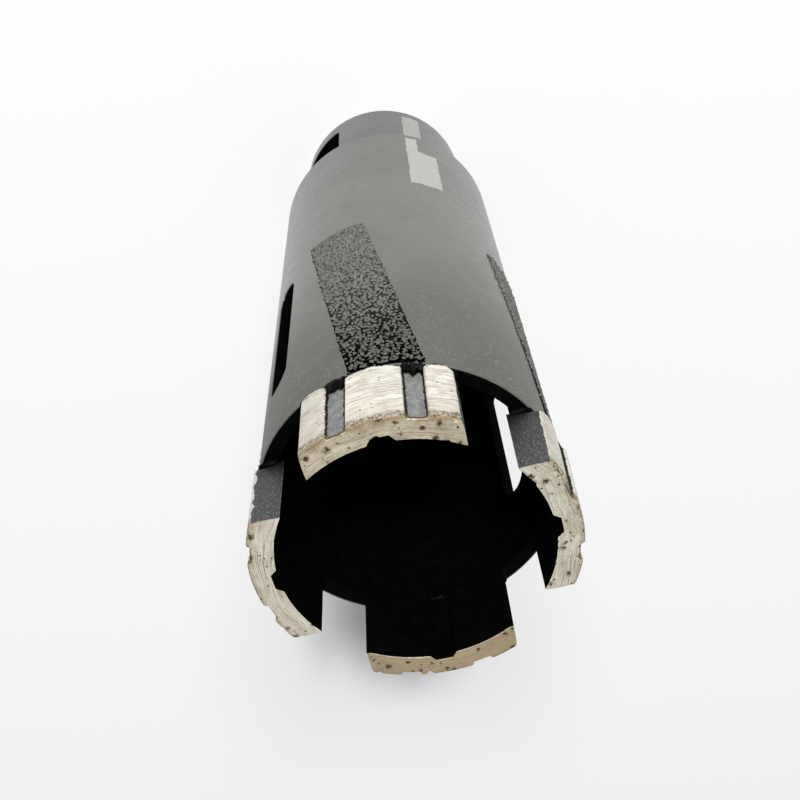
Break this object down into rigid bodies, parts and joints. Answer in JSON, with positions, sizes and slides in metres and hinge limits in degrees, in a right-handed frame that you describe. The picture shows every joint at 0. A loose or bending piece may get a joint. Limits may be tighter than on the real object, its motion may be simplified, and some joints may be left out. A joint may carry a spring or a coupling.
{
  "type": "diamond core bit",
  "caption": "Dry diamond core bit: slotted steel barrel with segments on its rim, slanted grit strips and a windowed hub with a spindle thread.",
  "frame": {"origin": "centre of the hub's flat end face, on which the bit stands", "axes": "+Z along the bit's axis from the hub to the cutting end, +X through a side slot and a hub window"},
  "size_m": [0.0496, 0.0496, 0.158],
  "materials": {
    "painted_steel": "satin black paint",
    "segment_metal": "ground sintered metal with diamond grit",
    "abrasive_coat": "coarse brazed grit"
  },
  "bodies": {
    "root": {"barrel": "painted_steel", "hub_adapter": "painted_steel", "hub_weld_bead": "painted_steel", "segment_1": "segment_metal", "segment_2": "segment_metal", "segment_3": "segment_metal", "segment_4": "segment_metal", "side_strip_1": "abrasive_coat", "side_strip_2": "abrasive_coat", "side_strip_3": "abrasive_coat", "side_strip_4": "abrasive_coat"}
  },
  "joints": []
}
